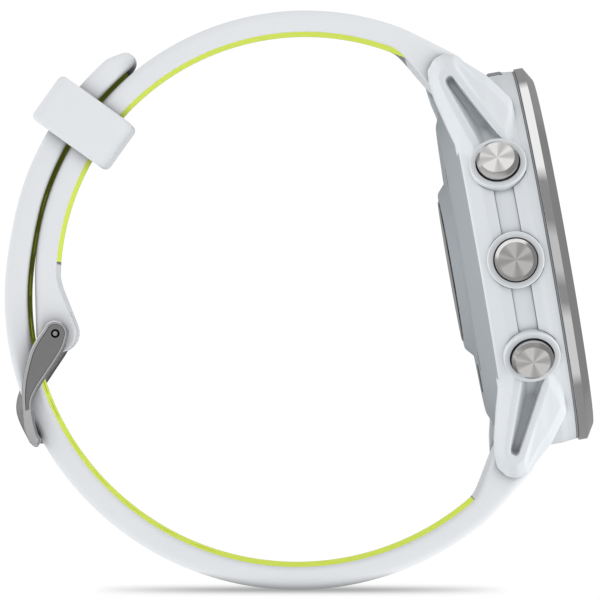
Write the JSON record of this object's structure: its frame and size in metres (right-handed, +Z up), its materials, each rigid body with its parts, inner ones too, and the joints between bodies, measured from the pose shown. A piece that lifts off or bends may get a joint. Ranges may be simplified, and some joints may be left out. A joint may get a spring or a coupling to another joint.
{
  "type": "gps running watch",
  "caption": "Round sports watch with side push buttons, metal bezel, rear optical sensor and a closed two-tone silicone strap with pin buckle and keeper loop.",
  "frame": {"origin": "centre of the flat rear sensor window, the face that rests on the wrist", "axes": "+Z up as the watch stands on its closed strap; +X towards the dial side, the dial tilted 10 degrees up; +Y towards the 3 o'clock side, across the strap"},
  "size_m": [0.0732, 0.0487, 0.0717],
  "materials": {
    "case_shell": "satin fibre-reinforced polymer",
    "rear_shell": "matt fibre-reinforced polymer",
    "titanium": "brushed titanium",
    "strap_silicone": "matt silicone",
    "lining_silicone": "matt silicone",
    "buckle_steel": "satin",
    "steel": "satin",
    "lens_glass": "polished",
    "sensor_glass": "polished dark",
    "lamp_glass": "frosted",
    "seal_rubber": "matt",
    "board": "solder mask",
    "battery_pouch": "satin foil",
    "gold": "gold plated",
    "chassis": "matt",
    "display": "glossy black"
  },
  "bodies": {
    "case": {"case_body": "case_shell", "bezel": "titanium", "bezel_gasket": "seal_rubber", "lens": "lens_glass", "display_panel": "display", "display_frame": "chassis", "rear_cover": "rear_shell", "rear_seal": "seal_rubber", "sensor_window": "sensor_glass", "sensor_board": "board", "battery": "battery_pouch", "main_board": "board", "gps_antenna": "gold", "vibration_motor": "steel", "speaker": "chassis", "pressure_vent": "seal_rubber", "charge_port": "seal_rubber", "flashlight_lens": "lamp_glass", "flashlight_board": "board", "rear_screw_1": "steel", "rear_screw_2": "steel", "rear_screw_3": "steel", "rear_screw_4": "steel", "charge_contact_1": "gold", "charge_contact_2": "gold", "charge_contact_3": "gold", "charge_contact_4": "gold", "light_button_seal": "seal_rubber", "light_button_switch": "chassis", "up_button_seal": "seal_rubber", "up_button_switch": "chassis", "down_button_seal": "seal_rubber", "down_button_switch": "chassis", "start_button_seal": "seal_rubber", "start_button_switch": "chassis", "back_button_seal": "seal_rubber", "back_button_switch": "chassis"},
    "light_button": {"light_button_cap": "titanium"},
    "up_button": {"up_button_cap": "titanium"},
    "down_button": {"down_button_cap": "titanium"},
    "start_button": {"start_button_cap": "titanium"},
    "back_button": {"back_button_cap": "titanium"},
    "strap": {"upper_strap": "strap_silicone", "lower_strap": "strap_silicone", "upper_lining": "lining_silicone", "lower_lining": "lining_silicone", "upper_spring_bar": "steel", "lower_spring_bar": "steel"},
    "upper_release": {"upper_release_pin": "steel"},
    "lower_release": {"lower_release_pin": "steel"},
    "keeper_loop": {"keeper": "strap_silicone"},
    "buckle": {"buckle_frame": "buckle_steel", "buckle_bar": "steel"},
    "buckle_tongue": {"tongue": "buckle_steel"}
  },
  "joints": [
    {"name": "light_button_press", "type": "slide", "parent": "case", "child": "light_button", "axis": [0.0879, 0.8625, -0.4983], "range_m": [0, 0.0006], "stiffness_N_per_m": 300, "springref_m": -0.001},
    {"name": "up_button_press", "type": "slide", "parent": "case", "child": "up_button", "axis": [0, 1, 0], "range_m": [0, 0.0006], "stiffness_N_per_m": 300, "springref_m": -0.001},
    {"name": "down_button_press", "type": "slide", "parent": "case", "child": "down_button", "axis": [-0.0879, 0.8625, 0.4983], "range_m": [0, 0.0006], "stiffness_N_per_m": 300, "springref_m": -0.001},
    {"name": "start_button_press", "type": "slide", "parent": "case", "child": "start_button", "axis": [0.0879, -0.8625, -0.4983], "range_m": [0, 0.0006], "stiffness_N_per_m": 300, "springref_m": -0.001},
    {"name": "back_button_press", "type": "slide", "parent": "case", "child": "back_button", "axis": [-0.0879, -0.8625, 0.4983], "range_m": [0, 0.0006], "stiffness_N_per_m": 300, "springref_m": -0.001},
    {"name": "strap_swing", "type": "hinge", "parent": "case", "child": "strap", "pos_m": [-0.00056, 0, 0.02447], "axis": [0, 1, 0], "range_deg": [0, 40]},
    {"name": "upper_release_slide", "type": "slide", "parent": "strap", "child": "upper_release", "axis": [0, 1, 0], "range_m": [0, 0.0013], "stiffness_N_per_m": 300, "springref_m": -0.001},
    {"name": "lower_release_slide", "type": "slide", "parent": "strap", "child": "lower_release", "axis": [0, -1, 0], "range_m": [0, 0.0013]},
    {"name": "keeper_slide", "type": "hinge", "parent": "strap", "child": "keeper_loop", "pos_m": [-0.01802, 0, -0.00127], "axis": [0, 1, 0], "range_deg": [-5, 4]},
    {"name": "buckle_hinge", "type": "hinge", "parent": "strap", "child": "buckle", "pos_m": [-0.04897, 0, -0.00769], "axis": [0, 1, 0], "range_deg": [0, 5]},
    {"name": "tongue_hinge", "type": "hinge", "parent": "buckle", "child": "buckle_tongue", "pos_m": [-0.04897, 0, -0.00769], "axis": [0, 1, 0], "range_deg": [0, 3]}
  ]
}
